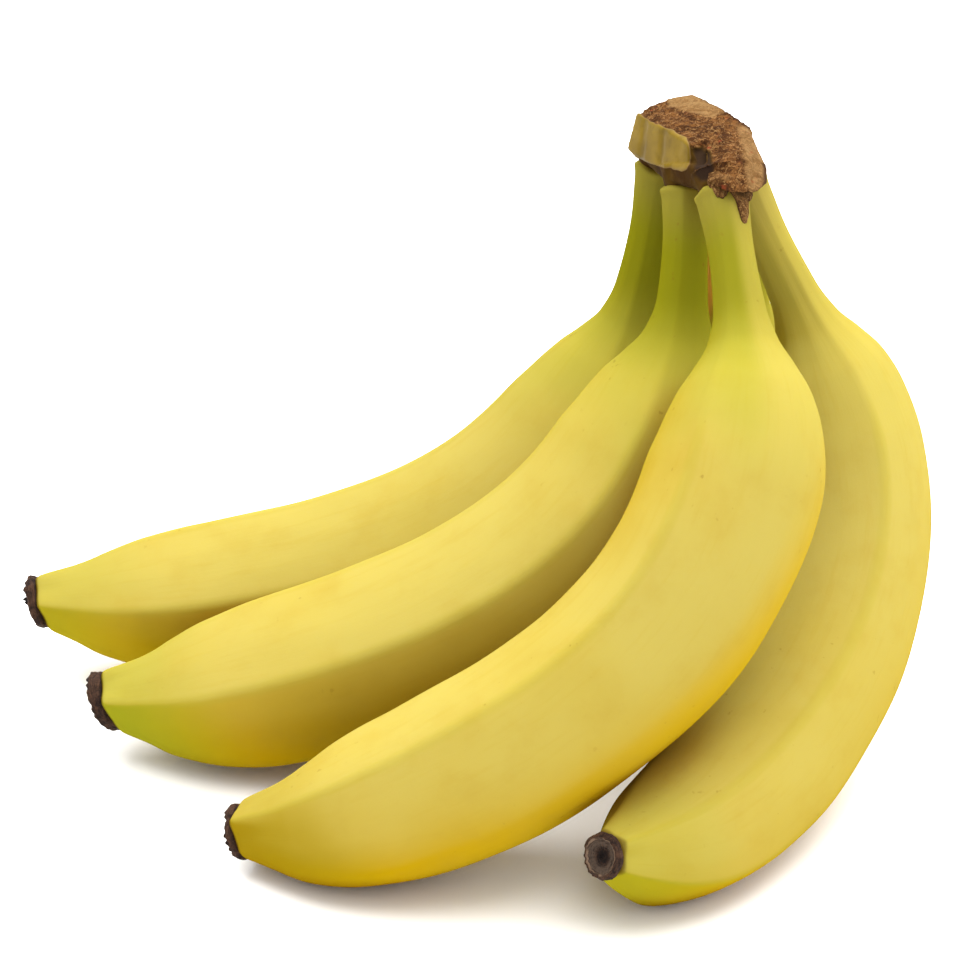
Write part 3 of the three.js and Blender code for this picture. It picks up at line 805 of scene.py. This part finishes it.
def crown_material():
    m = Shader("crown")
    place = m.place()
    cut, skin, edge, plain = (m.attribute(label) for label in ("cut", "skin", "edge", "plain"))
    swirl = m.noise(place, 230, 4.0, 0.6, 1.6)
    fibres = m.noise(m.scaled(place, (1.0, 1.0, 0.6)), 560, 3.0, 0.6, 1.8)
    threads = m.noise(m.scaled(place, (0.7, 1.0, 0.4)), 1200, 2.0, 0.6, 1.2)
    broad = m.noise(place, 110, 3.0, 0.5)

    # Plain facets are paler, and the torn fibres between them brown with dark and light threads
    tan = m.mix(m.range(swirl, 0.35, 0.65), seen(160, 116, 66), seen(190, 148, 94))
    torn = m.mix(m.range(swirl, 0.38, 0.6), seen(96, 58, 24), seen(158, 106, 56))
    tan = m.mix(plain, torn, tan)
    dark_lines = m.math("MAXIMUM", m.line(fibres, 0.5, 0.035), m.line(threads, 0.48, 0.03))
    tan = m.mix(m.times(dark_lines, m.range(plain, 0, 1, 0.85, 0.3)), tan, seen(60, 32, 14))
    tan = m.mix(m.times(m.line(fibres, 0.6, 0.03), 0.7), tan, seen(204, 156, 98))
    red = m.times(m.range(m.noise(place, 380, 2.0), 0.62, 0.72), m.range(broad, 0.5, 0.58))
    tan = m.mix(m.times(red, 0.6), tan, seen(172, 76, 44))

    # Green skin with painted shade in its creases, and dried olive skin below and behind
    green = m.mix(m.range(broad, 0.35, 0.65), seen(180, 146, 42), seen(152, 122, 36))
    green = m.mix(m.range(m.noise(place, 300, 4.0), 0.5, 0.72, 0, 0.5), green, seen(128, 102, 34))
    # Painted shade in the creases of the skin
    green = m.mix(m.range(m.attribute("crease"), 0.1, 0.6, 0, 0.6), green, seen(112, 88, 30))
    olive = m.mix(m.range(broad, 0.35, 0.65), seen(78, 48, 6), seen(104, 74, 14))
    olive = m.mix(m.range(swirl, 0.5, 0.68, 0, 0.6), olive, seen(112, 78, 30))
    colour = m.mix(cut, olive, tan)
    colour = m.mix(m.range(skin, 0.3, 0.7), colour, green)

    # A pale rim round the skin, painted shade in the hollow, dark edges, and the shade where necks go in
    rim = m.times(m.range(skin, 0.15, 0.5), m.fall(skin, 0.5, 0.97))
    colour = m.mix(m.times(rim, 0.6), colour, seen(176, 138, 86))
    # Painted shade in the hollow
    colour = m.mix(m.times(m.attribute("hollow"), 0.8), colour, seen(58, 42, 36))
    colour = m.mix(m.times(edge, 0.85), colour, seen(72, 44, 28))
    colour = m.mix(m.times(m.crevice(0.004), 0.7), colour, seen(40, 26, 10))
    bump = m.bump(dark_lines, m.range(cut, 0, 1, -0.1, -0.5), 0.0004)
    bump = m.bump(threads, m.range(cut, 0, 1, 0.05, 0.4), 0.0003, bump)
    rough = m.range(skin, 0, 1, 0.95, 0.5)
    return m.finish(Base_Color=colour, Roughness=rough, Normal=bump, Specular_IOR_Level=0.06)


def tip_material():
    m = Shader("dried_tip")
    place = m.place()
    coarse = m.noise(place, 420, 5.0, 0.65, 0.8)
    fine = m.noise(place, 1800, 4.0, 0.7)
    depth = m.attribute("depth")
    rings = m.noise(m.attribute("ring_place", "Vector"), 1.0, 3.0, 0.6)

    # Near black on the wall, paler on the face behind a thin light ring, and dark in the middle
    colour = m.mix(m.range(coarse, 0.35, 0.65), seen(46, 28, 22), seen(112, 78, 58))
    face = m.times(m.range(depth, 0.56, 0.62), m.fall(depth, 0.7, 0.82))
    colour = m.mix(m.times(face, 0.75), colour, seen(128, 108, 92))
    colour = m.mix(m.times(m.line(depth, 0.6, 0.035), 0.8), colour, seen(186, 152, 124))
    colour = m.mix(m.range(rings, 0.48, 0.64, 0, 0.75), colour, seen(40, 26, 20))
    colour = m.mix(m.range(fine, 0.58, 0.72, 0, 0.5), colour, seen(150, 120, 96))
    colour = m.mix(m.range(depth, 0.72, 0.88, 0, 0.85), colour, seen(30, 22, 20))
    bump = m.bump(coarse, 0.7, 0.0008)
    bump = m.bump(rings, 0.8, 0.0006, bump)
    bump = m.bump(fine, 0.5, 0.0003, bump)
    return m.finish(Base_Color=colour, Roughness=0.85, Normal=bump, Specular_IOR_Level=0.15)


# Studio. The surroundings brighten upwards, and a little to the back and the right
SKY_LOW, SKY_HIGH = 0.75, 2.0
SKY_LEAN_BACK, SKY_LEAN_RIGHT = 0.35, 0.12
FLOOR_COLOUR = (0.93, 0.925, 0.915, 1)
FLOOR_SIZE = 8.0
# Round lamps: place and diameter in metres, and watts
LAMPS = {
    "overhead": ((0.1, 0.25, 1.5), 2.4, 54.0),
    "right": ((1.4, -0.2, 0.9), 1.2, 2.0),
}
LAMP_TARGET = (0, 0, 0.05)


def make_surroundings():
    bpy.ops.mesh.primitive_plane_add(size=FLOOR_SIZE)
    floor = bpy.context.object
    floor.name = "floor"
    paper = Shader("floor").finish(Base_Color=FLOOR_COLOUR, Roughness=0.9, Specular_IOR_Level=0.1)
    floor.data.materials.append(paper)

    world = bpy.data.worlds.new("studio")
    bpy.context.scene.world = world
    world.use_nodes = True
    sky = ShaderTree(world.node_tree)
    x, y, z = sky.axes(sky.node("ShaderNodeTexCoord").outputs["Generated"])
    leaning = sky.math("ADD", sky.times(y, SKY_LEAN_BACK), sky.times(x, SKY_LEAN_RIGHT))
    above = sky.math("ADD", z, leaning)
    background = world.node_tree.nodes["Background"]
    background.inputs["Color"].default_value = (1.0, 0.995, 0.985, 1)
    sky.put(background.inputs["Strength"], sky.range(above, -0.1, 0.9, SKY_LOW, SKY_HIGH))

    for name, (place, size, watts) in LAMPS.items():
        data = bpy.data.lights.new(name, "AREA")
        data.shape = "DISK"
        data.size = size
        data.energy = watts
        light = bpy.data.objects.new(name, data)
        light.location = place
        light.rotation_euler = (Vector(LAMP_TARGET) - Vector(place)).to_track_quat("-Z", "Y").to_euler()
        bpy.context.scene.collection.objects.link(light)


def make_camera():
    target = Vector((CAMERA_TARGET - MIDDLE) * MM)
    back = Vector((0, -math.cos(CAMERA_HEIGHT), math.sin(CAMERA_HEIGHT)))
    data = bpy.data.cameras.new("camera")
    data.sensor_width = SENSOR
    data.lens = SENSOR * PIXELS_PER_MM * CAMERA_DISTANCE / PICTURE_SIZE
    camera = bpy.data.objects.new("camera", data)
    camera.location = target + back * CAMERA_DISTANCE * MM
    camera.rotation_euler = (-back).to_track_quat("-Z", "Y").to_euler()
    bpy.context.scene.collection.objects.link(camera)
    bpy.context.scene.camera = camera
    bpy.context.scene.view_settings.view_transform = "Standard"


make_camera()
make_surroundings()
peel, dried = peel_material(), tip_material()
for number, (name, banana) in enumerate(BANANAS.items(), 1):
    make_banana(name, banana, number).data.materials.append(peel)
    make_blossom_tip(f"blossom_tip_{number}", name, banana, number).data.materials.append(dried)
make_crown().data.materials.append(crown_material())
